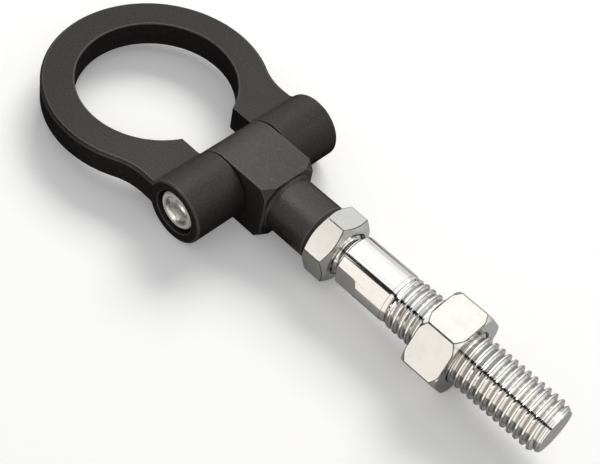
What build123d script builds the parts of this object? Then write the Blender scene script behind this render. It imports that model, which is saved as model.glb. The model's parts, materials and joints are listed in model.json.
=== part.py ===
# Folding tow eye: a ring with two hinge ears, a hinge block between them, and a
# screwed stud that fastens it to a car. Millimetres.
# +X runs along the stud to its tip, +Y along the hinge, +Z up out of the flat ring.
# The origin is on the stud axis, at the lock nut's face that seats on the car.
import os
from math import cos, hypot, radians, sin, sqrt, tan

from build123d import *

# Tow ring
ring_outer_diameter = 75.0
ring_inner_diameter = 53.0
ring_thickness = 9.5
ring_reach = 42.5  # hinge axis to ring centre
ring_edge_chamfer = 0.9
ring_bore_break = 0.3
neck_blend_radius = 22.0  # hollow curve from the ring to the ears
ear_diameter = 22.0
ear_span = 61.0  # over both ear ends
ear_edge_break = 0.4
ear_fillet = 1.5
fork_gap = 22.0  # between the ears

# Hinge block and its shank
block_width = 21.0
block_height = 22.0
block_length = 18.5  # hinge axis to end face
block_edge_break = 0.3
turned_end_diameter = 25.1  # where the 45 degree turned cone meets the end face
shank_diameter = 19.2
shank_length = 16.5
shank_root_flare = 0.5  # short cone where the shank leaves the block
shank_end_chamfer = 0.8

# Pivot screw
pivot_diameter = 10.0
pivot_thread_diameter = 8.0
pivot_tip_chamfer = 0.8
screw_head_diameter = 13.2
screw_head_height = 6.0
screw_head_recess = 0.9
screw_head_chamfer = 0.5
screw_socket_flats = 8.0
screw_socket_depth = 4.0
screw_socket_angle = 37.0  # angle of a corner from +X
screw_socket_mouth = 10.2  # countersunk rim of the socket
screw_tip_recess = 1.5
counterbore_diameter = 15.4

# Jam nut
jam_nut_flats = 21.0
jam_nut_thickness = 10.0
jam_nut_turn = 13.2  # angle of a flat's normal from +Y
jam_nut_face = 18.5  # circle where the turned chamfer meets the end face
jam_nut_chamfer_angle = 30.0
jam_nut_mouth_depth = 0.9  # 45 degree countersink of the bore

# Stud
jam_thread_diameter = 13.8
jam_thread_engagement = 20.0  # inside the shank
jam_thread_chamfer = 1.0
jam_gap = 2.3  # free thread between jam nut and collar
collar_diameter = 17.35
collar_length = 19.0
collar_start_chamfer = 0.4
collar_shoulder_length = 1.0
wrench_flats = 14.9
wrench_flat_length = 8.5
wrench_corner_radius = 2.5  # left by the end mill
wrench_side_margin = 0.2  # cutter path beyond each long edge
wrench_flat_turn = 7.0  # angle of a flat's normal from +Y
runout_diameter = 16.5
runout_length = 1.0
thread_diameter = 17.8
thread_length = 58.5
thread_fade_length = 2.4  # where the crests rise to their full height
tip_diameter = 14.8
tip_chamfer_length = 3.0

# Lock nut
lock_nut_flats = 26.3
lock_nut_thickness = 13.3
lock_nut_turn = 34.1  # angle of a flat's normal from +Y
lock_nut_face = 27.7  # wider than the flats, so only the corners are turned away
lock_nut_chamfer_angle = 52.0
lock_nut_mouth_depth = 0.45
lock_nut_place = 12.1  # from the start of the thread to the nut

# Shared fits and tool angles
running_clearance = 0.05  # radial, for the hinge and every threaded pair
tap_margin = 1.5  # tapped hole beyond the end of its screw
drill_point_angle = 118.0
cutter_margin = 1.0  # how far a cut reaches past the surface it leaves

# Places along the stud, from the hinge axis
stud_root = block_length + shank_length
jam_nut_end = stud_root + jam_nut_thickness
collar_start = jam_nut_end + jam_gap
collar_end = collar_start + collar_length
runout_start = collar_end + collar_shoulder_length
thread_start = runout_start + runout_length
thread_end = thread_start + thread_length
lock_nut_start = thread_start + lock_nut_place
lock_nut_end = lock_nut_start + lock_nut_thickness
hinge_x = -lock_nut_end

# Places along the hinge, from the middle of the fork
ear_end = ear_span / 2
fork_wall = fork_gap / 2
screw_face = -ear_end + screw_head_recess
screw_seat = screw_face + screw_head_height
screw_tip = ear_end - screw_tip_recess

hinge_origin = (hinge_x, 0, 0)
flat_plane = Plane(hinge_origin)  # seen from above
side_plane = Plane(hinge_origin, x_dir=(1, 0, 0), z_dir=(0, -1, 0))  # seen from the side
stud_axis = Axis(hinge_origin, (1, 0, 0))
hinge_axis = Axis(hinge_origin, (0, 1, 0))
drill_slope = tan(radians(drill_point_angle / 2))


def across(distance):
    """Plane square to the stud, at a distance from the hinge axis."""
    return Plane.YZ.offset(hinge_x + distance)


def profile(points, axis):
    """Closed face of (along, radius) points, ready to revolve about the stud or the hinge."""
    along_stud = axis is stud_axis
    with BuildSketch(flat_plane) as section:
        with BuildLine():
            Polyline([(a, r) if along_stud else (r, a) for a, r in points], close=True)
        make_face()
    return section.sketch


def nut_outline(flats, face_diameter, chamfer_angle, start, end):
    """Outer half of a nut's section, with the corners turned away at both ends."""
    corner = flats / 2 / cos(radians(30))
    face = face_diameter / 2
    slope = (corner - face) * tan(radians(chamfer_angle))
    return [(start, face), (start + slope, corner), (end - slope, corner), (end, face)]


def nut_bore(thread, mouth_depth, start, end):
    """Inner half of a nut's section: a bore with two countersunk mouths."""
    bore = thread / 2 + running_clearance
    mouth = bore + mouth_depth
    return [(end, mouth), (end - mouth_depth, bore), (start + mouth_depth, bore), (start, mouth)]


# Tow ring: a flat plate that hollows in to two round ears, with an open slot between them
ring_radius = ring_outer_diameter / 2
ear_radius = ear_diameter / 2
blend_reach = sqrt((ring_radius + neck_blend_radius) ** 2 - (ear_end + neck_blend_radius) ** 2)
blend_x = blend_reach - ring_reach
tangent_share = ring_radius / (ring_radius + neck_blend_radius)
ring_tangent = (blend_reach * tangent_share - ring_reach, (ear_end + neck_blend_radius) * tangent_share)
fillet_height = ring_thickness / 2 + ear_fillet
fillet_reach = sqrt((ear_radius + ear_fillet) ** 2 - fillet_height**2)
touch_share = ear_radius / (ear_radius + ear_fillet)
fillet_foot = (-fillet_reach, ring_thickness / 2)
fillet_top = (-fillet_reach * touch_share, fillet_height * touch_share)
with BuildPart() as tow_ring:
    with BuildSketch(flat_plane.offset(-ring_thickness / 2)):
        with BuildLine():
            Line((0, 0), (0, ear_end))
            Line((0, ear_end), (blend_x, ear_end))
            TangentArc((blend_x, ear_end), ring_tangent, tangent=(-1, 0))
            ThreePointArc(ring_tangent, (-ring_reach, ring_radius), (-ring_reach - ring_radius, 0))
            mirror(about=Plane.XZ)
        make_face()
        with Locations((-ring_reach, 0)):
            Circle(ring_inner_diameter / 2, mode=Mode.SUBTRACT)
    extrude(amount=ring_thickness)
    flat_faces = tow_ring.faces().filter_by(Axis.Z)
    rim_edges = [edge for face in flat_faces for edge in face.outer_wire().edges()]
    bore_edges = [edge for face in flat_faces for edge in face.inner_wires().edges()]
    chamfer(rim_edges, ring_edge_chamfer)
    chamfer(bore_edges, ring_bore_break)
    ear_flank = ear_radius - ear_edge_break
    ear_side = [(-ear_end, ear_flank), (ear_edge_break - ear_end, ear_radius)]
    ear_side += [(ear_end - ear_edge_break, ear_radius), (ear_end, ear_flank)]
    revolve(profile([(-ear_end, 0)] + ear_side + [(ear_end, 0)], hinge_axis), axis=hinge_axis)
    with BuildSketch(side_plane):
        with BuildLine():
            Polyline(fillet_foot, (-fillet_reach, 0), (fillet_top[0], 0), fillet_top)
            TangentArc(fillet_foot, fillet_top, tangent=(1, 0))
        make_face()
        mirror(about=Plane.XZ)
    extrude(amount=ear_end - ear_edge_break, both=True)
    with Locations((hinge_x - ring_reach, 0, 0)):
        Box(
            ring_reach + ear_radius + cutter_margin,
            fork_gap,
            ear_diameter + cutter_margin,
            align=(Align.MIN, Align.CENTER, Align.CENTER),
            mode=Mode.SUBTRACT,
        )
    pivot_hole = pivot_diameter / 2 + running_clearance
    thread_hole = pivot_thread_diameter / 2 + running_clearance
    cut_end = ear_end + cutter_margin
    passage = [(-cut_end, 0), (-cut_end, counterbore_diameter / 2), (screw_seat, counterbore_diameter / 2)]
    passage += [(screw_seat, pivot_hole), (0, pivot_hole), (0, thread_hole)]
    passage += [(cut_end, thread_hole), (cut_end, 0)]
    revolve(profile(passage, hinge_axis), axis=hinge_axis, mode=Mode.SUBTRACT)
tow_ring.part.label = "tow_ring"

# Hinge block: rounded about the hinge, with a turned end and a round shank tapped for the stud
block_corner = hypot(block_width, block_height) / 2 + cutter_margin
turned_radius = turned_end_diameter / 2
round_end = block_height / 2
shank_radius = shank_diameter / 2
with BuildPart() as hinge_block:
    with BuildSketch(side_plane):
        with BuildLine():
            Line((0, round_end), (block_length, round_end))
            Line((block_length, round_end), (block_length, -round_end))
            Line((block_length, -round_end), (0, -round_end))
            ThreePointArc((0, -round_end), (-round_end, 0), (0, round_end))
        make_face()
    extrude(amount=block_width / 2, both=True)
    side_faces = hinge_block.faces().filter_by(Axis.Y)
    chamfer(side_faces.edges(), block_edge_break)
    cone_run = block_corner - turned_radius
    cone = [(block_length, turned_radius), (block_length, block_corner)]
    cone += [(block_length - cone_run, block_corner)]
    revolve(profile(cone, stud_axis), axis=stud_axis, mode=Mode.SUBTRACT)
    shank_side = [(block_length, 0), (block_length, shank_radius + shank_root_flare)]
    shank_side += [(block_length + shank_root_flare, shank_radius)]
    shank_side += [(stud_root - shank_end_chamfer, shank_radius)]
    shank_side += [(stud_root, shank_radius - shank_end_chamfer), (stud_root, 0)]
    revolve(profile(shank_side, stud_axis), axis=stud_axis)
    with BuildSketch(side_plane):
        Circle(pivot_hole)
    extrude(amount=block_width, both=True, mode=Mode.SUBTRACT)
    tap_radius = jam_thread_diameter / 2 + running_clearance
    tap_bottom = stud_root - jam_thread_engagement - tap_margin
    tapped = [(stud_root + cutter_margin, 0), (stud_root + cutter_margin, tap_radius)]
    tapped += [(tap_bottom, tap_radius), (tap_bottom - tap_radius / drill_slope, 0)]
    revolve(profile(tapped, stud_axis), axis=stud_axis, mode=Mode.SUBTRACT)
hinge_block.part.label = "hinge_block"

# Pivot screw: head sunk in one ear, shoulder through the block, thread in the other ear
head_radius = screw_head_diameter / 2
shoulder_radius = pivot_diameter / 2
thread_radius = pivot_thread_diameter / 2
socket_bottom = screw_face + screw_socket_depth
socket_radius = screw_socket_flats / 2
mouth_radius = screw_socket_mouth / 2
with BuildPart() as pivot_screw:
    head = [(screw_face, 0), (screw_face, head_radius - screw_head_chamfer)]
    head += [(screw_face + screw_head_chamfer, head_radius), (screw_seat, head_radius)]
    shank = [(screw_seat, shoulder_radius), (fork_wall, shoulder_radius), (fork_wall, thread_radius)]
    tip = [(screw_tip - pivot_tip_chamfer, thread_radius), (screw_tip, thread_radius - pivot_tip_chamfer)]
    revolve(profile(head + shank + tip + [(screw_tip, 0)], hinge_axis), axis=hinge_axis)
    with BuildSketch(side_plane.offset(-screw_face)):
        RegularPolygon(socket_radius, 6, major_radius=False, rotation=screw_socket_angle)
    extrude(amount=-screw_socket_depth, mode=Mode.SUBTRACT)
    countersink = [(screw_face, 0), (screw_face, mouth_radius), (screw_face + mouth_radius, 0)]
    revolve(profile(countersink, hinge_axis), axis=hinge_axis, mode=Mode.SUBTRACT)
    drill_point = [(socket_bottom, 0), (socket_bottom, socket_radius)]
    drill_point += [(socket_bottom + socket_radius / drill_slope, 0)]
    revolve(profile(drill_point, hinge_axis), axis=hinge_axis, mode=Mode.SUBTRACT)
pivot_screw.part.label = "pivot_screw"

# Jam nut: locks the stud in the shank
with BuildPart() as jam_nut:
    with BuildSketch(across(stud_root)):
        RegularPolygon(jam_nut_flats / 2, 6, major_radius=False, rotation=jam_nut_turn + 30)
    extrude(amount=jam_nut_thickness)
    jam_outline = nut_outline(jam_nut_flats, jam_nut_face, jam_nut_chamfer_angle, stud_root, jam_nut_end)
    jam_bore = nut_bore(jam_thread_diameter, jam_nut_mouth_depth, stud_root, jam_nut_end)
    revolve(profile(jam_outline + jam_bore, stud_axis), axis=stud_axis, mode=Mode.INTERSECT)
jam_nut.part.label = "jam_nut"

# Stud: thread into the shank, collar with two wrench flats, and the long thread into the car
jam_radius = jam_thread_diameter / 2
collar_radius = collar_diameter / 2
runout_radius = runout_diameter / 2
stud_radius = thread_diameter / 2
stud_start = stud_root - jam_thread_engagement
flat_height = wrench_flats / 2
flat_depth = collar_radius - flat_height
flat_width = 2 * (sqrt(collar_radius**2 - flat_height**2) + wrench_side_margin)
with BuildPart() as threaded_stud:
    outline = [(stud_start, 0), (stud_start, jam_radius - jam_thread_chamfer)]
    outline += [(stud_start + jam_thread_chamfer, jam_radius), (collar_start, jam_radius)]
    outline += [(collar_start, collar_radius - collar_start_chamfer)]
    outline += [(collar_start + collar_start_chamfer, collar_radius), (collar_end, collar_radius)]
    outline += [(runout_start, runout_radius), (thread_start, runout_radius)]
    outline += [(thread_start + thread_fade_length, stud_radius)]
    outline += [(thread_end - tip_chamfer_length, stud_radius), (thread_end, tip_diameter / 2)]
    revolve(profile(outline + [(thread_end, 0)], stud_axis), axis=stud_axis)
    for turn in (wrench_flat_turn, wrench_flat_turn + 180):
        outward = Vector(0, cos(radians(turn)), sin(radians(turn)))
        floor = Plane(Vector(*hinge_origin) + outward * flat_height, x_dir=(1, 0, 0), z_dir=outward)
        with BuildSketch(floor) as wrench_flat:
            with Locations((collar_start - cutter_margin, 0)):
                Rectangle(
                    wrench_flat_length + cutter_margin, flat_width, align=(Align.MIN, Align.CENTER)
                )
            fillet(wrench_flat.vertices().group_by(Axis.X)[-1], wrench_corner_radius)
        extrude(amount=flat_depth + cutter_margin, mode=Mode.SUBTRACT)
threaded_stud.part.label = "threaded_stud"

# Lock nut: runs on the long thread and seats on the car
with BuildPart() as lock_nut:
    with BuildSketch(across(lock_nut_start)):
        RegularPolygon(lock_nut_flats / 2, 6, major_radius=False, rotation=lock_nut_turn + 30)
    extrude(amount=lock_nut_thickness)
    lock_outline = nut_outline(
        lock_nut_flats, lock_nut_face, lock_nut_chamfer_angle, lock_nut_start, lock_nut_end
    )
    lock_bore = nut_bore(thread_diameter, lock_nut_mouth_depth, lock_nut_start, lock_nut_end)
    revolve(profile(lock_outline + lock_bore, stud_axis), axis=stud_axis, mode=Mode.INTERSECT)
lock_nut.part.label = "lock_nut"

os.makedirs("parts", exist_ok=True)
export_step(tow_ring.part, "parts/tow_ring.step")
export_step(hinge_block.part, "parts/hinge_block.step")
export_step(pivot_screw.part, "parts/pivot_screw.step")
export_step(jam_nut.part, "parts/jam_nut.step")
export_step(threaded_stud.part, "parts/threaded_stud.step")
export_step(lock_nut.part, "parts/lock_nut.step")
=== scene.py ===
import json
from math import cos, hypot, pi, radians, tan

import bmesh
import bpy
from mathutils import Matrix, Vector


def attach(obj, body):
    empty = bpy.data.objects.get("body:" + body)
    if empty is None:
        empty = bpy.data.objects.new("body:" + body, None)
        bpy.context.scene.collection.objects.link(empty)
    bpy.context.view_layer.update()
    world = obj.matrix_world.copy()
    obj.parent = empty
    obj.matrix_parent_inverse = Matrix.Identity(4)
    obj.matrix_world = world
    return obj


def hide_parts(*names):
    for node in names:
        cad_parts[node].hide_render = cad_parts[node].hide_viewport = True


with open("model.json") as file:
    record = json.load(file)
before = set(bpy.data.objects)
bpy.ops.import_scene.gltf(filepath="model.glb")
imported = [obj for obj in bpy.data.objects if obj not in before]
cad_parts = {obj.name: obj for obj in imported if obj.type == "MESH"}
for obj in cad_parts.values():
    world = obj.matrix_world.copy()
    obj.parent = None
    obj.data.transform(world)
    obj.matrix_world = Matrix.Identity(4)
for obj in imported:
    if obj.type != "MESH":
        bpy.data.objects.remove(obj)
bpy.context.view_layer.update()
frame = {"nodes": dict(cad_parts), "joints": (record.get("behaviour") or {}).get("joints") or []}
nodes = frame["nodes"]
hinge = next(Vector(joint["pos_m"]) for joint in frame["joints"] if joint["name"] == "ring_fold")
mm = 0.001  # in metres
placed = Matrix.Translation(hinge) @ Matrix.Scale(mm, 4)  # pieces are modelled in mm from the hinge
scene = bpy.context.scene
print("frame loaded, hinge at", tuple(round(value, 4) for value in hinge))


# mesh helpers

reach = {"merge": 1e-4, "seam": 1e-3, "cut": 1e-5, "rim": 0.04}  # in mm
easing = {"flat": 0.4, "sharp": 18, "smooth": 14, "segments": 2}  # angles in degrees


def inScene(point):
    return Vector(point) * mm + hinge


def radiusOf(co):  # distance from the stud's axis
    return hypot(co.y, co.z)


def atRadius(co, x, radius):
    share = radius / radiusOf(co)
    return Vector((x, co.y * share, co.z * share))


def between(points, x):  # straight runs through (x, value) points
    if x <= points[0][0]:
        return points[0][1]
    for (x0, y0), (x1, y1) in zip(points, points[1:]):
        if x <= x1:
            return y0 + (y1 - y0) * (x - x0) / (x1 - x0)
    return points[-1][1]


def vertsOf(items):
    return {vert for item in items for vert in item.verts}


def rimAt(bm, x):  # open edges that lie across the axis at x
    edges = [edge for edge in bm.edges if edge.is_boundary]
    return [edge for edge in edges if abs((edge.verts[0].co.x + edge.verts[1].co.x) / 2 - x) < reach["rim"]]


def grow(bm, edges, place):
    made = bmesh.ops.extrude_edge_only(bm, edges=edges)["geom"]
    fresh = {item for item in made if isinstance(item, bmesh.types.BMVert)}
    for vert in fresh:
        vert.co = place(vert.co)
    return [edge for edge in bm.edges if edge.verts[0] in fresh and edge.verts[1] in fresh]


def cutAcross(bm, x, keepAbove):
    everything = bm.verts[:] + bm.edges[:] + bm.faces[:]
    bmesh.ops.bisect_plane(
        bm, geom=everything, dist=reach["cut"], plane_co=(x, 0, 0), plane_no=(1, 0, 0),
        clear_inner=keepAbove, clear_outer=not keepAbove,
    )


def mergeFlats(bm):  # coplanar triangles become one face
    angle = radians(easing["flat"])
    bmesh.ops.dissolve_limit(bm, angle_limit=angle, verts=bm.verts[:], edges=bm.edges[:])


def roundEdges(bm, width):
    highlightAndShade = bm.faces.layers.float.new("highlightAndShade")
    sharp = radians(easing["sharp"])
    made = bmesh.ops.bevel(
        bm, geom=[edge for edge in bm.edges if edge.is_manifold and edge.calc_face_angle(0) > sharp],
        offset=width, offset_type="OFFSET", segments=easing["segments"], profile=0.5,
        affect="EDGES", clamp_overlap=False, material=-1,
    )
    for face in made["faces"]:
        face[highlightAndShade] = 1.0  # the rounded edges, for the materials: painted highlight on black, painted shade on steel


def shadeFrom(bm, angle):
    highlightAndShade = bm.faces.layers.float.get("highlightAndShade")
    for face in bm.faces:
        face.smooth = True
    for edge in bm.edges:
        alike = len({face[highlightAndShade] for face in edge.link_faces}) == 1  # a rounded edge keeps to itself
        edge.smooth = alike and edge.calc_face_angle(0) < radians(angle)


def takeIn(bm, other):
    mesh = bpy.data.meshes.new("joining")
    other.to_mesh(mesh)
    bm.from_mesh(mesh)
    bpy.data.meshes.remove(mesh)
    other.free()


def cadCopy(node):
    bm = bmesh.new()
    bm.from_mesh(nodes[node].data)
    bmesh.ops.transform(bm, matrix=placed.inverted(), verts=bm.verts[:])
    bmesh.ops.remove_doubles(bm, verts=bm.verts[:], dist=reach["merge"])
    return bm


def placeMesh(bm, name, material):
    mesh = bpy.data.meshes.new(name)
    bm.to_mesh(mesh)
    bm.free()
    mesh.materials.append(material)
    item = bpy.data.objects.new(name, mesh)
    scene.collection.objects.link(item)
    return item


def finishPiece(bm, name, material, body, node):
    bmesh.ops.recalc_face_normals(bm, faces=bm.faces[:])
    bmesh.ops.transform(bm, matrix=placed, verts=bm.verts[:])
    piece = placeMesh(bm, name, material)
    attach(piece, body)
    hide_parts(node)
    print(name, "has", len(piece.data.polygons), "faces")


# material helpers

def grey(red, green, blue):
    return (red, green, blue, 1.0)


def feed(tree, value, socket):  # a link from another node, or a fixed value
    if isinstance(value, bpy.types.NodeSocket):
        tree.links.new(value, socket)
    elif value is not None:
        socket.default_value = value


def newGroup(name, inputs, output):
    tree = bpy.data.node_groups.new(name, "ShaderNodeTree")
    for label, value in inputs.items():
        kind = "NodeSocketVector" if value is None else "NodeSocketFloat"
        socket = tree.interface.new_socket(label, in_out="INPUT", socket_type=kind)
        if value is not None:
            socket.default_value = value
    tree.interface.new_socket(output, in_out="OUTPUT", socket_type="NodeSocketFloat")
    return tree, tree.nodes.new("NodeGroupInput").outputs, tree.nodes.new("NodeGroupOutput").inputs


def newMaterial(name):
    material = bpy.data.materials.new(name)
    material.use_nodes = True
    return material, material.node_tree, material.node_tree.nodes["Principled BSDF"]


def addPlace(tree):
    return tree.nodes.new("ShaderNodeTexCoord").outputs["Object"]


def addAttribute(tree, name):
    node = tree.nodes.new("ShaderNodeAttribute")
    node.attribute_name = name
    return node.outputs["Fac"]


def addNoise(tree, dimensions, **values):
    node = tree.nodes.new("ShaderNodeTexNoise")
    node.noise_dimensions = dimensions
    for label, value in values.items():
        feed(tree, value, node.inputs[label])
    return node.outputs[0]


def addGroup(tree, group, **values):
    node = tree.nodes.new("ShaderNodeGroup")
    node.node_tree = group
    for label, value in values.items():
        feed(tree, value, node.inputs[label])
    return node.outputs[0]


def addMath(tree, operation, first, second, third=None, clamp=False):
    node = tree.nodes.new("ShaderNodeMath")
    node.operation = operation
    node.use_clamp = clamp
    for socket, value in zip(node.inputs, (first, second, third)):
        feed(tree, value, socket)
    return node.outputs[0]


def addBlend(tree, share, first, second):  # a share of the first and the rest of the second
    return addMath(tree, "MULTIPLY_ADD", first, share, addMath(tree, "MULTIPLY", second, 1.0 - share))


def addSpan(tree, share, low, high):  # from low at 0 to high at 1
    return addMath(tree, "MULTIPLY_ADD", share, high - low, low)


def addMix(tree, share, first, second):
    node = tree.nodes.new("ShaderNodeMix")
    node.data_type = "RGBA"
    for index, value in ((0, share), (6, first), (7, second)):  # the factor and the two colours
        feed(tree, value, node.inputs[index])
    return node.outputs[2]


def addBump(tree, shader, heights, distance, strength):
    bump = tree.nodes.new("ShaderNodeBump")
    bump.inputs["Distance"].default_value = distance
    bump.inputs["Strength"].default_value = strength
    tree.links.new(heights, bump.inputs["Height"])
    tree.links.new(bump.outputs[0], shader.inputs["Normal"])


# shared effects: fine grain, lathe marks and painted edge lines (painted highlight on black, painted shade
# on steel)

def buildGrain():
    tree, source, sink = newGroup("fineGrain", {"Place": None, "Scale": 3000.0, "Detail": 2.0}, "Grain")
    grain = addNoise(tree, "3D", Vector=source["Place"], Scale=source["Scale"], Detail=source["Detail"])
    tree.links.new(grain, sink["Grain"])
    return tree


def buildLatheMarks():
    tree, source, sink = newGroup("latheMarks", {"Place": None, "Scale": 4000.0}, "Marks")
    split = tree.nodes.new("ShaderNodeSeparateXYZ")
    tree.links.new(source["Place"], split.inputs[0])
    x, y, z = split.outputs
    squares = addMath(tree, "MULTIPLY_ADD", z, z, addMath(tree, "MULTIPLY", y, y))
    radius = addMath(tree, "POWER", squares, 0.5)
    run = addMath(tree, "ADD", x, radius)  # so that end faces get rings as well
    tree.links.new(addNoise(tree, "1D", W=run, Scale=source["Scale"]), sink["Marks"])
    return tree


def buildPaintedEdgeLines():
    # marked faces take the finish's edge colour: painted highlight on black, painted shade on steel, patchy
    # along the edge
    patchy = (0.6, 1.4)
    tree, source, sink = newGroup("paintedEdgeLines", {"Place": None, "Scale": 700.0, "Share": 0.8}, "HighlightAndShade")
    noise = addNoise(tree, "3D", Vector=source["Place"], Scale=source["Scale"])
    highlightAndShade = addMath(tree, "MULTIPLY", addAttribute(tree, "highlightAndShade"), addSpan(tree, noise, *patchy))
    tree.links.new(addMath(tree, "MULTIPLY", highlightAndShade, source["Share"]), sink["HighlightAndShade"])
    return tree


grainGroup = buildGrain()
latheGroup = buildLatheMarks()
paintedEdgeGroup = buildPaintedEdgeLines()


# black anodised finishes

anodised = {
    "grainShare": 0.6, "grainDetail": 3.0, "cloudDetail": 2.0,
    "speckGain": 1.45, "speckPower": 7.0,
    "edgePaint": 0.7, "edgePaintScale": 500.0, "bumpStrength": 0.8,
}
ringFinish = {
    "name": "ringBlack",
    "colour": grey(0.0075, 0.0068, 0.0066),
    "paler": grey(0.0130, 0.0120, 0.0116),
    # painted highlight along the rounded edges
    "edge": grey(0.090, 0.086, 0.083),
    # lighter specks: grain of the blasted coat, and painted glints
    "speck": grey(0.034, 0.032, 0.031),
    "gloss": (0.42, 0.56),
    "specular": 0.36,
    "sheen": grey(1.0, 0.93, 0.91),
    "grain": 1700.0,
    "clouds": 90.0,
    "bump": 0.00016,
}
# a lighter, glossier copy of the ring's black: painted light, as the block's top catches more light than
# the ring's
blockFinish = {
    "name": "blockBlackPaintedLight",
    "colour": grey(0.0090, 0.0082, 0.0080),
    "paler": grey(0.0200, 0.0186, 0.0180),
    # painted highlight along the rounded edges
    "edge": grey(0.110, 0.105, 0.101),
    # lighter specks: grain of the blasted coat, and painted glints
    "speck": grey(0.045, 0.043, 0.041),
    "gloss": (0.38, 0.50),
    "specular": 0.48,
    "sheen": grey(1.0, 0.94, 0.92),
    "grain": 1600.0,
    "clouds": 110.0,
    "bump": 0.00018,
}


def makeAnodised(finish):
    material, tree, shader = newMaterial(finish["name"])
    place = addPlace(tree)
    grain = addGroup(tree, grainGroup, Place=place, Scale=finish["grain"], Detail=anodised["grainDetail"])
    clouds = addGroup(tree, grainGroup, Place=place, Scale=finish["clouds"], Detail=anodised["cloudDetail"])
    highlightAndShade = addGroup(tree, paintedEdgeGroup, Place=place, Scale=anodised["edgePaintScale"], Share=anodised["edgePaint"])
    mixed = addBlend(tree, anodised["grainShare"], grain, clouds)
    # lighter specks: grain of the blasted coat, and painted glints
    raised = addMath(tree, "MULTIPLY", grain, anodised["speckGain"])
    specks = addMath(tree, "POWER", raised, anodised["speckPower"], clamp=True)
    colour = addMix(tree, mixed, finish["colour"], finish["paler"])
    colour = addMix(tree, specks, colour, finish["speck"])
    # painted highlight on the rounded edges
    colour = addMix(tree, highlightAndShade, colour, finish["edge"])
    tree.links.new(colour, shader.inputs["Base Color"])
    tree.links.new(addSpan(tree, mixed, *finish["gloss"]), shader.inputs["Roughness"])
    shader.inputs["Specular IOR Level"].default_value = finish["specular"]
    shader.inputs["Specular Tint"].default_value = finish["sheen"]
    addBump(tree, shader, grain, finish["bump"], anodised["bumpStrength"])
    return material


# plated finishes

plated = {
    "stain": grey(0.66, 0.65, 0.62),
    # painted shade: dark lines on rounded edges, in the bore and on the tip's end face
    "edge": grey(0.07, 0.066, 0.062),
    # painted shade at the thread roots and in the socket
    "paintedRootShade": grey(0.34, 0.335, 0.33),
    "grazing": grey(0.78, 0.78, 0.79),
    "clouds": 260.0, "cloudDetail": 4.0, "cloudShare": 0.5, "clean": 0.45,
    "grain": 2800.0, "grainDetail": 2.0,
    "rootShadePower": 9.0,
    "edgePaintScale": 900.0,
    "markShare": 0.7, "bumpStrength": 0.3,
}
turnedFinish = {
    "name": "turnedSteel",
    "metal": 1.0,
    "colour": grey(0.95, 0.94, 0.92),
    "gloss": (0.05, 0.13),
    "marks": 2600.0,
    "mottle": 0.5,
    "edgePaint": 0.5,
    "bump": 0.000003,
}
nutFinish = {
    "name": "nutSteel",
    "metal": 1.0,
    "colour": grey(0.865, 0.87, 0.84),
    "gloss": (0.12, 0.26),
    "marks": 900.0,
    "mottle": 1.0,
    "edgePaint": 0.9,
    "bump": 0.000008,
}
screwFinish = {
    "name": "screwSteel",
    "metal": 0.2,
    "colour": grey(0.90, 0.89, 0.86),
    "gloss": (0.20, 0.36),
    "marks": 2600.0,
    "mottle": 1.3,
    "edgePaint": 0.4,
    "bump": 0.000008,
}


def makePlated(finish):
    material, tree, shader = newMaterial(finish["name"])
    place = addPlace(tree)
    lathe = addGroup(tree, latheGroup, Place=place, Scale=finish["marks"])
    clouds = addGroup(tree, grainGroup, Place=place, Scale=plated["clouds"], Detail=plated["cloudDetail"])
    grain = addGroup(tree, grainGroup, Place=place, Scale=plated["grain"], Detail=plated["grainDetail"])
    highlightAndShade = addGroup(tree, paintedEdgeGroup, Place=place, Scale=plated["edgePaintScale"], Share=finish["edgePaint"])
    recessShade = addAttribute(tree, "recessShade")  # depth of the thread, 0 at the crests; it paints shade at the roots and in the screw's socket
    stain = addMath(tree, "SUBTRACT", clouds, plated["clean"], clamp=True)
    stain = addMath(tree, "MULTIPLY", stain, finish["mottle"])
    paintedRootShade = addMath(tree, "POWER", recessShade, plated["rootShadePower"])
    colour = addMix(tree, stain, finish["colour"], plated["stain"])
    colour = addMix(tree, paintedRootShade, colour, plated["paintedRootShade"])
    # painted shade where the edge mask is set
    colour = addMix(tree, highlightAndShade, colour, plated["edge"])
    tree.links.new(colour, shader.inputs["Base Color"])
    rough = addBlend(tree, plated["cloudShare"], clouds, grain)
    tree.links.new(addSpan(tree, rough, *finish["gloss"]), shader.inputs["Roughness"])
    shader.inputs["Metallic"].default_value = finish["metal"]
    if finish["metal"] < 1.0:  # a dull face, and the socket more metallic so that its walls catch brighter highlights
        tree.links.new(addSpan(tree, recessShade, finish["metal"], 1.0), shader.inputs["Metallic"])
    shader.inputs["Specular Tint"].default_value = plated["grazing"]
    heights = addBlend(tree, plated["markShare"], lathe, grain)
    addBump(tree, shader, heights, finish["bump"], plated["bumpStrength"])
    return material


ringBlack = makeAnodised(ringFinish)
blockBlackPaintedLight = makeAnodised(blockFinish)
turnedSteel = makePlated(turnedFinish)
nutSteel = makePlated(nutFinish)
screwSteel = makePlated(screwFinish)
print("materials made")


# nuts

hexagon = {"sides": 6, "cuts": 15, "half": 30, "level": 0.01}
lockNut = {
    "flats": 26.3, "thickness": 13.3, "start": 80.4, "turn": 34.1, "face": 27.7, "angle": 52.0,
    "bore": 8.95, "mouth": 0.45, "border": (0.20, 0.14), "drop": (0.16, 0.04),
}
jamNut = {
    "flats": 21.0, "thickness": 10.0, "start": 35.0, "turn": 13.2, "face": 18.5, "angle": 30.0,
    "bore": 6.95, "mouth": 0.9, "border": (0.16, 0.12), "drop": (0.13, 0.03),
}


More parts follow.
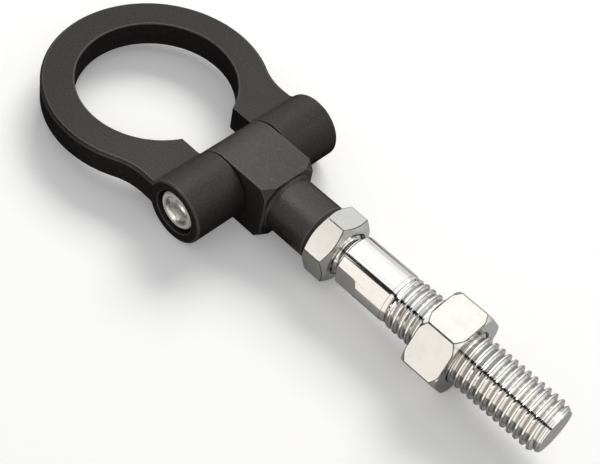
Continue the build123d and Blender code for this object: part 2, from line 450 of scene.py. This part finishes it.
def easeFlats(bm, nut, mouth):  # the border of each flat falls away in two narrow steps
    highlightAndShade = bm.faces.layers.float.new("highlightAndShade")
    sides = {}
    for face in bm.faces:
        outer = face.calc_center_median().yz.length > mouth
        if outer and abs(face.normal.x) < hexagon["level"]:
            sides.setdefault((round(face.normal.y, 1), round(face.normal.z, 1)), []).append(face)
    flats = [face for side in sides.values() for face in side]
    for width, drop in zip(nut["border"], nut["drop"]):
        rims = []
        for side in sides.values():
            rims += bmesh.ops.inset_region(
                bm, faces=side, thickness=width, depth=0, use_boundary=True, use_even_offset=True,
            )["faces"]
        # the rounded borders take the steel's painted shade lines
        for face in rims:
            face[highlightAndShade] = 1.0
        for vert in vertsOf(rims) - vertsOf(flats):
            vert.co = atRadius(vert.co, vert.co.x, radiusOf(vert.co) - drop)
    for face in bm.faces:
        if face.calc_center_median().yz.length < mouth:  # painted shade in the bore and its mouth
            face[highlightAndShade] = 1.0
    shadeFrom(bm, easing["smooth"])
    for flat in flats:
        flat.smooth = False


def makeNut(nut, name, body, node):
    bm = bmesh.new()
    corner = nut["flats"] / 2 / cos(radians(hexagon["half"]))
    face = nut["face"] / 2
    slope = tan(radians(nut["angle"]))
    mouth = nut["bore"] + nut["mouth"]
    turn = Matrix.Rotation(radians(nut["turn"] + hexagon["half"]), 4, "X")
    upright = turn @ Matrix.Rotation(radians(90), 4, "Y")
    bmesh.ops.create_circle(bm, segments=hexagon["sides"], radius=corner, matrix=upright)
    bmesh.ops.subdivide_edges(bm, edges=bm.edges[:], cuts=hexagon["cuts"])
    bmesh.ops.translate(bm, verts=bm.verts[:], vec=(nut["start"], 0, 0))
    near = bm.edges[:]
    far = grow(bm, near, lambda co: co + Vector((nut["thickness"], 0, 0)))
    throats = []
    for rim, end, inward in ((near, nut["start"], 1), (far, nut["start"] + nut["thickness"], -1)):
        for vert in vertsOf(rim):
            vert.co.x = end + inward * max(0, radiusOf(vert.co) - face) * slope
        edges = grow(bm, rim, lambda co: atRadius(co, end, min(face, radiusOf(co))))
        edges = grow(bm, edges, lambda co: atRadius(co, end, mouth))
        throats += grow(bm, edges, lambda co: atRadius(co, end + inward * nut["mouth"], nut["bore"]))
    bmesh.ops.bridge_loops(bm, edges=throats)
    bmesh.ops.remove_doubles(bm, verts=bm.verts[:], dist=reach["seam"])
    bmesh.ops.recalc_face_normals(bm, faces=bm.faces[:])
    easeFlats(bm, nut, mouth)
    finishPiece(bm, name, nutSteel, body, node)


makeNut(lockNut, "lockNutRounded", "lock_nut_body", "lock_nut")
makeNut(jamNut, "jamNutRounded", "stud_body", "jam_nut")


# stud: cut threads on both ends of a turned collar

longThread = {
    "pitch": 2.48, "crest": 65.56, "turns": 26, "steps": 72, "start": 67.35, "end": 126.8, "smooth": 40,
    "section": [(-1.24, 7.37), (-1.12, 7.40), (-1.03, 7.50), (-0.46, 8.56), (-0.36, 8.77), (-0.24, 8.87),
                (-0.16, 8.9), (-0.08, 8.88), (0.08, 8.88), (0.16, 8.9),
                (0.24, 8.87), (0.36, 8.77), (0.46, 8.56), (1.03, 7.50), (1.12, 7.40), (1.24, 7.37)],
    "rounding": (8.64, 8.84),  # mean radius of the crest's rounded edges, which take painted shade lines
    "highest": [(67.3, 8.25), (68.0, 8.5), (70.7, 8.9), (123.8, 8.9), (126.8, 7.4)],
    "lowest": [(67.3, 8.25), (69.0, 8.05), (77.0, 8.0), (97.0, 7.6),
               (108.0, 7.37), (126.0, 7.37), (126.7, 7.4)],
}
jamThread = {
    "pitch": 2.0, "crest": 30.0, "turns": 11, "steps": 64, "start": 36.0, "end": 47.6, "smooth": 40,
    "section": [(-1.0, 5.70), (-0.84, 5.74), (-0.52, 6.28), (-0.22, 6.76), (-0.10, 6.87), (0, 6.9),
                (0.10, 6.87), (0.22, 6.76), (0.52, 6.28), (0.84, 5.74), (1.0, 5.70)],
    "rounding": (6.78, 6.86),
    "highest": [(36.0, 5.7), (37.2, 6.9)],
    "lowest": [(36.0, 5.7)],
}
collar = {"start": 47.32, "end": 67.25, "rounding": 0.12}
tipMark = {"radius": 0.8, "depth": 0.4, "paintedShade": 0.8}


def makeThread(thread):
    bm = bmesh.new()
    recessShade = bm.verts.layers.float.new("recessShade")
    highlightAndShade = bm.faces.layers.float.new("highlightAndShade")
    verts = [bm.verts.new((thread["crest"] + x, radius, 0)) for x, radius in thread["section"]]
    for first, second in zip(verts, verts[1:]):
        bm.edges.new((first, second))
    pitch, steps = thread["pitch"], thread["steps"]
    bmesh.ops.spin(
        bm, geom=bm.verts[:] + bm.edges[:], cent=(0, 0, 0), axis=(1, 0, 0),
        dvec=(pitch / steps, 0, 0), angle=2 * pi, steps=steps,
    )
    turn = bm.verts[:] + bm.edges[:] + bm.faces[:]
    for count in range(1, thread["turns"]):  # one turn is spun, and the others are copies of it
        copied = bmesh.ops.duplicate(bm, geom=turn)["geom"]
        moved = [item for item in copied if isinstance(item, bmesh.types.BMVert)]
        bmesh.ops.translate(bm, verts=moved, vec=(pitch * count, 0, 0))
    bmesh.ops.remove_doubles(bm, verts=bm.verts[:], dist=reach["seam"])
    low, high = thread["rounding"]
    # the crest's rounded edges take painted shade lines
    for face in bm.faces:
        radius = sum(radiusOf(vert.co) for vert in face.verts) / len(face.verts)
        face[highlightAndShade] = 1.0 if low < radius < high else 0.0
    crest = max(radius for x, radius in thread["section"])
    # the depth sets the painted shade at the roots
    for vert in bm.verts:
        lowest = between(thread["lowest"], vert.co.x)
        radius = max(radiusOf(vert.co), lowest)
        vert[recessShade] = (crest - radius) / (crest - lowest)
        vert.co = atRadius(vert.co, vert.co.x, min(radius, between(thread["highest"], vert.co.x)))
    cutAcross(bm, thread["start"], True)
    cutAcross(bm, thread["end"], False)
    shadeFrom(bm, thread["smooth"])
    return bm


def closeTip(bm):  # an end face painted darker as shade, with a small centre mark
    recessShade = bm.verts.layers.float.get("recessShade")
    highlightAndShade = bm.faces.layers.float.get("highlightAndShade")
    tip = longThread["end"]
    rim = rimAt(bm, tip)
    for vert in vertsOf(rim):
        vert[recessShade] = 0.0
    mark = grow(bm, rim, lambda co: atRadius(co, tip, tipMark["radius"]))
    # painted shade on the end face
    for edge in mark:
        for face in edge.link_faces:
            face[highlightAndShade] = tipMark["paintedShade"]
    for edge in rim + mark:
        edge.smooth = False  # the end face stays flat
    point = grow(bm, mark, lambda co: Vector((tip - tipMark["depth"], 0, 0)))
    bmesh.ops.remove_doubles(bm, verts=list(vertsOf(point)), dist=reach["merge"])


def makeCollar():
    bm = cadCopy("threaded_stud")
    bm.verts.layers.float.new("recessShade")
    cutAcross(bm, collar["end"], False)
    cutAcross(bm, collar["start"], True)
    mergeFlats(bm)
    bmesh.ops.edgeloop_fill(bm, edges=rimAt(bm, collar["start"]))
    roundEdges(bm, collar["rounding"])
    shadeFrom(bm, easing["smooth"])
    return bm


def makeStud():
    bm = makeThread(longThread)
    closeTip(bm)
    takeIn(bm, makeCollar())
    bmesh.ops.bridge_loops(bm, edges=rimAt(bm, longThread["start"]) + rimAt(bm, collar["end"]))
    inner = makeThread(jamThread)
    for end in (jamThread["start"], jamThread["end"]):
        bmesh.ops.edgeloop_fill(inner, edges=rimAt(inner, end))
    takeIn(bm, inner)
    finishPiece(bm, "studCutThreads", turnedSteel, "stud_body", "threaded_stud")


makeStud()


# ring, block and screw keep the solids' shapes, with their sharp edges eased

screwSocket = {"face": -29.4, "radius": 4.9, "paintedShade": 0.77}
easedParts = {  # name, material, slot, body and width of the rounded edges
    "tow_ring": ("towRingEased", ringBlack, "black_anodised", "ring_body", 0.22),
    "hinge_block": ("hingeBlockEased", blockBlackPaintedLight, "black_anodised", "stud_body", 0.14),
    "pivot_screw": ("pivotScrewEased", screwSteel, "plated_steel", "ring_body", 0.10),
}


# painted shade in the hex socket
def shadeSocket(bm):
    recessShade = bm.verts.layers.float.new("recessShade")
    for vert in bm.verts:
        inside = hypot(vert.co.x, vert.co.z) < screwSocket["radius"]
        if inside and screwSocket["face"] < vert.co.y < 0:
            vert[recessShade] = screwSocket["paintedShade"]


for node, (name, material, slot, body, width) in easedParts.items():
    bm = cadCopy(node)
    mergeFlats(bm)
    roundEdges(bm, width)
    shadeFrom(bm, easing["smooth"])
    if node == "pivot_screw":
        shadeSocket(bm)
    finishPiece(bm, name, material, body, node)


# stage: pale floor, sheets that paint reflections in the metal, lamp, camera

stage = {
    "colour": grey(0.93, 0.93, 0.93),
    "reflectedFloorTone": grey(0.55, 0.55, 0.55),  # painted reflection: a grey floor that only reflections see, in place of the pale floor
    "contacts": ((0.0, -11.0), (87.0, -13.66)),  # x and height of the ears and of the lock nut's corner
    "size": 6.0, "reflectedFloorLift": 0.05,
    "roughness": 0.9, "specular": 0.1,
    "glow": 0.18, "fill": 0.43,
}
reflectionTones = {
    "cream": grey(0.98, 0.93, 0.88),
    "sky": grey(1.15, 1.13, 1.10),
    "dark": grey(0.01, 0.01, 0.01),
    "far": grey(0.72, 0.72, 0.72),
    "side": grey(0.40, 0.40, 0.41),
    "top": grey(3.0, 2.95, 2.9),
    "band": grey(6.0, 5.9, 5.8),
    "neck": grey(2.8, 2.75, 2.7),
    "rightSky": grey(2.2, 2.16, 2.1),
}
reflectionCards = {  # painted reflections: sheets that glow only in reflections, with tone and corners
    "creamCard": ("cream", [(-20, -100, -15), (700, -100, -15), (700, -300, 345), (-162, -300, 345)]),
    "nearCard": ("cream", [(30, -26, -11.5), (700, -26, -11.5), (700, -100, -11.5), (30, -100, -11.5)]),
    "cameraCard": ("dark", [(-700, -300, 335), (700, -300, 335), (700, -300, 535), (-700, -300, 535)]),
    "lineCard": ("dark", [(-49, -200, 176), (90, -200, 212), (90, -200, 242), (-49, -200, 242)]),
    "shadeCard": ("dark", [(-700, -100, -15), (-20, -100, -15), (-162, -300, 345), (-700, -300, 345)]),
    "underCard": ("dark", [(-400, -100, 1.4), (27, -100, -11.7), (27, 200, -11.7), (-400, 200, 1.4)]),
    "farCard": ("far", [(-900, 450, -15), (900, 450, -15), (900, 450, 220), (-900, 450, 220)]),
    "sideCard": ("side", [(450, -400, -25), (450, 700, -25), (450, 700, 190), (450, -400, 190)]),
    "skyCard": ("sky", [(-600, -100, 640), (600, -100, 640), (600, 500, 560), (-600, 500, 560)]),
    "topCard": ("top", [(-80, -60, 110), (0, -60, 110), (-55, 150, 110), (-80, 150, 110)]),
    "rightSkyCard": ("rightSky", [(150, 100, 600), (900, 100, 600), (900, 800, 600), (150, 800, 600)]),
    "neckCard": ("neck", [(-24, -98, -8), (-4, -98, -8), (-14, -158, 96), (-44, -158, 96)]),
    "bandCard": ("band", [(-45, -75, 109), (0, -75, 109), (0, 0, 109), (-45, 0, 109)]),
}
softbox = {
    "place": (-552, 1104, 1032), "aim": (20, 0, 0), "size": (1.08, 0.72), "watts": 20.7,
    "colour": (1.0, 0.99, 0.97),
}
view = {
    "place": (187.883, -231.705, 326.593),
    "looks": (-0.36987, 0.52933, -0.76355),
    "up": (-0.60873, 0.48279, 0.62957),
    "lens": 83.93, "sensor": 36.0, "clip": (0.01, 50.0),
}


def addSeen(tree):  # 1 for what the camera, metal or glass sees
    path = tree.nodes.new("ShaderNodeLightPath")
    seen = addMath(tree, "MAXIMUM", path.outputs["Is Camera Ray"], path.outputs["Is Glossy Ray"])
    return addMath(tree, "MAXIMUM", seen, path.outputs["Is Transmission Ray"])


def onlyReflected(item):
    item.visible_camera = item.visible_diffuse = item.visible_shadow = False


def makeFloor(name, colour, glow, lift):
    (x0, z0), (x1, z1) = stage["contacts"]
    slope = (z1 - z0) / (x1 - x0)
    bm = bmesh.new()
    bmesh.ops.create_grid(bm, x_segments=2, y_segments=2, size=stage["size"])
    for vert in bm.verts:
        vert.co.z = hinge.z + (z0 + lift) * mm + slope * (vert.co.x - hinge.x - x0 * mm)
    material, tree, shader = newMaterial(name)
    shader.inputs["Base Color"].default_value = colour
    shader.inputs["Roughness"].default_value = stage["roughness"]
    shader.inputs["Specular IOR Level"].default_value = stage["specular"]
    if glow:
        shader.inputs["Emission Color"].default_value = grey(1, 1, 1)
        tree.links.new(addMath(tree, "MULTIPLY", addSeen(tree), glow), shader.inputs["Emission Strength"])
    floor = placeMesh(bm, name, material)
    return floor


# a sheet that glows only in reflections: a painted reflection, no lamp
def makeReflectionCard(name, colour, corners):
    bm = bmesh.new()
    bm.faces.new([bm.verts.new(inScene(corner)) for corner in corners])
    material, tree, shader = newMaterial(name)
    tree.nodes.remove(shader)
    glow = tree.nodes.new("ShaderNodeEmission")
    glow.inputs["Color"].default_value = colour
    tree.links.new(glow.outputs[0], tree.nodes["Material Output"].inputs["Surface"])
    card = placeMesh(bm, name, material)
    onlyReflected(card)


def makeWorld():
    world = bpy.data.worlds.new("studio")
    world.use_nodes = True
    tree = world.node_tree
    back = tree.nodes["Background"]
    tree.links.new(addSpan(tree, addSeen(tree), stage["fill"], 1.0), back.inputs["Strength"])
    back.inputs["Color"].default_value = grey(1, 1, 1)
    scene.world = world


def makeLamp():
    data = bpy.data.lights.new("softbox", "AREA")
    data.shape = "RECTANGLE"
    data.size, data.size_y = softbox["size"]
    data.energy = softbox["watts"]
    data.color = softbox["colour"]
    lamp = bpy.data.objects.new("softbox", data)
    scene.collection.objects.link(lamp)
    lamp.location = inScene(softbox["place"])
    aim = inScene(softbox["aim"]) - lamp.location
    lamp.rotation_euler = aim.to_track_quat("-Z", "Y").to_euler()
    lamp.visible_glossy = lamp.visible_camera = False  # metal sees the painted reflection cards instead


def makeCamera():
    data = bpy.data.cameras.new("camera")
    data.sensor_width = view["sensor"]
    data.lens = view["lens"]
    data.clip_start, data.clip_end = view["clip"]
    camera = bpy.data.objects.new("camera", data)
    scene.collection.objects.link(camera)
    up, back = Vector(view["up"]), -Vector(view["looks"])
    turned = Matrix((up.cross(back), up, back)).transposed()
    camera.matrix_world = Matrix.Translation(inScene(view["place"])) @ turned.to_4x4()
    scene.camera = camera


makeFloor("paleFloor", stage["colour"], stage["glow"], 0.0)
onlyReflected(makeFloor("reflectedGreyFloor", stage["reflectedFloorTone"], 0.0, stage["reflectedFloorLift"]))
for name, (tone, corners) in reflectionCards.items():
    makeReflectionCard(name, reflectionTones[tone], corners)
makeWorld()
makeLamp()
makeCamera()
scene.view_settings.view_transform = "Standard"
print("stage set")
